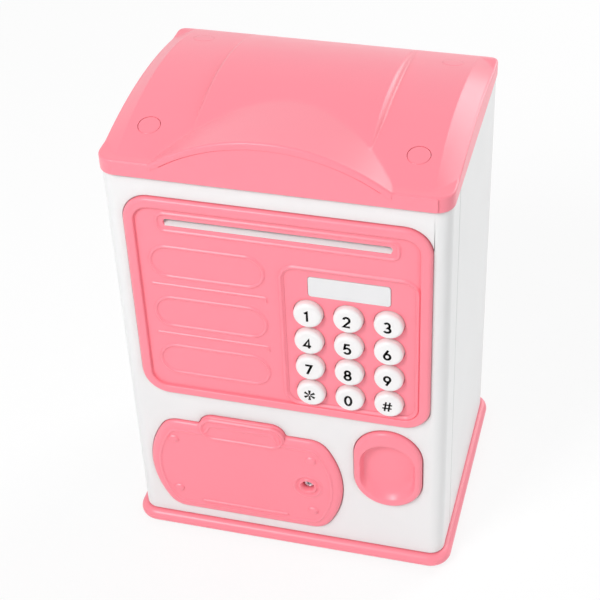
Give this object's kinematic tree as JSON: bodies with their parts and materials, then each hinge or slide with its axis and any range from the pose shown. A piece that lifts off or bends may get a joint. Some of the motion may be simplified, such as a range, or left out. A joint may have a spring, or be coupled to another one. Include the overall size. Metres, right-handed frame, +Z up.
{
  "type": "toy safe coin bank",
  "caption": "Box-shaped children's money bank with an arched roof, a hinged front door with a keypad, a banknote slot with feed rollers, a finger button, a battery cover and a coin slot.",
  "frame": {"origin": "centre of the bounding box, on the plane the feet stand on", "axes": "+Z up, -Y out of the front door, +X to the viewer's right when facing the door"},
  "size_m": [0.1276, 0.1008, 0.1888],
  "materials": {
    "pink_plastic": "smooth moulded pink plastic",
    "white_plastic": "smooth moulded white plastic",
    "key_plastic": "smooth white key caps",
    "lens": "clear display window",
    "dark_rubber": "matt rubber",
    "grey_rubber": "matt silicone mat",
    "steel": "plated steel",
    "dark_plastic": "matt black plastic",
    "grey_plastic": "matt grey plastic",
    "board": "green circuit board",
    "winding": "lacquered copper wire",
    "cell_sleeve": "plain printed sleeve"
  },
  "bodies": {
    "case": {"base_tray": "pink_plastic", "feet": "dark_rubber", "base_screws": "steel", "body_shell": "white_plastic", "roof_cap": "pink_plastic", "roof_screws": "steel", "screw_plugs": "pink_plastic", "hinge_pins": "steel", "strike_plate": "steel", "strike_screws": "steel", "coin_bezel": "pink_plastic"},
    "door": {"door_shell": "white_plastic", "door_back_cover": "white_plastic", "back_cover_screws": "steel", "control_panel": "pink_plastic", "display_lens": "lens", "display_module": "dark_plastic", "keypad_mat": "grey_rubber", "main_board": "board", "board_screws": "steel", "switch_board": "board", "battery_tray": "white_plastic", "battery_cells": "cell_sleeve", "battery_contacts": "steel", "feeder_frame": "grey_plastic", "feed_motor": "steel", "speaker": "dark_plastic", "solenoid_frame": "steel", "solenoid_coil": "winding", "latch_spring": "steel"},
    "key_1": {"key_1": "key_plastic"},
    "key_2": {"key_2": "key_plastic"},
    "key_3": {"key_3": "key_plastic"},
    "key_4": {"key_4": "key_plastic"},
    "key_5": {"key_5": "key_plastic"},
    "key_6": {"key_6": "key_plastic"},
    "key_7": {"key_7": "key_plastic"},
    "key_8": {"key_8": "key_plastic"},
    "key_9": {"key_9": "key_plastic"},
    "key_star": {"key_star": "key_plastic"},
    "key_0": {"key_0": "key_plastic"},
    "key_hash": {"key_hash": "key_plastic"},
    "finger_button": {"finger_button": "pink_plastic"},
    "latch_bolt": {"latch_bolt": "steel"},
    "drive_roller": {"roller_shaft": "steel", "roller_tyres": "dark_rubber", "roller_gear": "white_plastic"},
    "pinch_roller": {"pinch_roller": "dark_rubber"},
    "motor_pinion": {"motor_pinion": "white_plastic"},
    "battery_cover": {"battery_cover": "pink_plastic", "cover_screw": "steel"}
  },
  "joints": [
    {"name": "door_hinge", "type": "hinge", "parent": "case", "child": "door", "pos_m": [-0.0576, -0.0342, 0.0878], "axis": [0, 0, -1], "range_deg": [0, 95]},
    {"name": "key_1_press", "type": "slide", "parent": "door", "child": "key_1", "axis": [0, 1, 0], "range_m": [0, 0.0015], "stiffness_N_per_m": 400},
    {"name": "key_2_press", "type": "slide", "parent": "door", "child": "key_2", "axis": [0, 1, 0], "range_m": [0, 0.0015], "stiffness_N_per_m": 400},
    {"name": "key_3_press", "type": "slide", "parent": "door", "child": "key_3", "axis": [0, 1, 0], "range_m": [0, 0.0015], "stiffness_N_per_m": 400},
    {"name": "key_4_press", "type": "slide", "parent": "door", "child": "key_4", "axis": [0, 1, 0], "range_m": [0, 0.0015], "stiffness_N_per_m": 400},
    {"name": "key_5_press", "type": "slide", "parent": "door", "child": "key_5", "axis": [0, 1, 0], "range_m": [0, 0.0015], "stiffness_N_per_m": 400},
    {"name": "key_6_press", "type": "slide", "parent": "door", "child": "key_6", "axis": [0, 1, 0], "range_m": [0, 0.0015], "stiffness_N_per_m": 400},
    {"name": "key_7_press", "type": "slide", "parent": "door", "child": "key_7", "axis": [0, 1, 0], "range_m": [0, 0.0015], "stiffness_N_per_m": 400},
    {"name": "key_8_press", "type": "slide", "parent": "door", "child": "key_8", "axis": [0, 1, 0], "range_m": [0, 0.0015], "stiffness_N_per_m": 400},
    {"name": "key_9_press", "type": "slide", "parent": "door", "child": "key_9", "axis": [0, 1, 0], "range_m": [0, 0.0015], "stiffness_N_per_m": 400},
    {"name": "key_star_press", "type": "slide", "parent": "door", "child": "key_star", "axis": [0, 1, 0], "range_m": [0, 0.0015], "stiffness_N_per_m": 400},
    {"name": "key_0_press", "type": "slide", "parent": "door", "child": "key_0", "axis": [0, 1, 0], "range_m": [0, 0.0015], "stiffness_N_per_m": 400},
    {"name": "key_hash_press", "type": "slide", "parent": "door", "child": "key_hash", "axis": [0, 1, 0], "range_m": [0, 0.0015], "stiffness_N_per_m": 400},
    {"name": "finger_press", "type": "slide", "parent": "door", "child": "finger_button", "axis": [0, 1, 0], "range_m": [0, 0.0012], "stiffness_N_per_m": 900},
    {"name": "latch_slide", "type": "slide", "parent": "door", "child": "latch_bolt", "axis": [1, 0, 0], "range_m": [0, 0.0038], "stiffness_N_per_m": 200, "deforming": ["latch_spring"]},
    {"name": "roller_spin", "type": "hinge", "parent": "door", "child": "drive_roller", "pos_m": [0.00185, -0.039, 0.14745], "axis": [1, 0, 0], "continuous": true},
    {"name": "pinch_spin", "type": "hinge", "parent": "door", "child": "pinch_roller", "pos_m": [0.00185, -0.039, 0.15485], "axis": [1, 0, 0], "continuous": true},
    {"name": "pinion_spin", "type": "hinge", "parent": "door", "child": "motor_pinion", "pos_m": [-0.044, -0.039, 0.13995], "axis": [1, 0, 0], "continuous": true},
    {"name": "cover_lift", "type": "slide", "parent": "door", "child": "battery_cover", "axis": [0, -1, 0], "range_m": [0, 0.015]}
  ],
  "couplings": [
    {"joint": "pinion_spin", "follows": "roller_spin", "ratio": -1.5},
    {"joint": "pinch_spin", "follows": "roller_spin", "ratio": -1.5357}
  ]
}
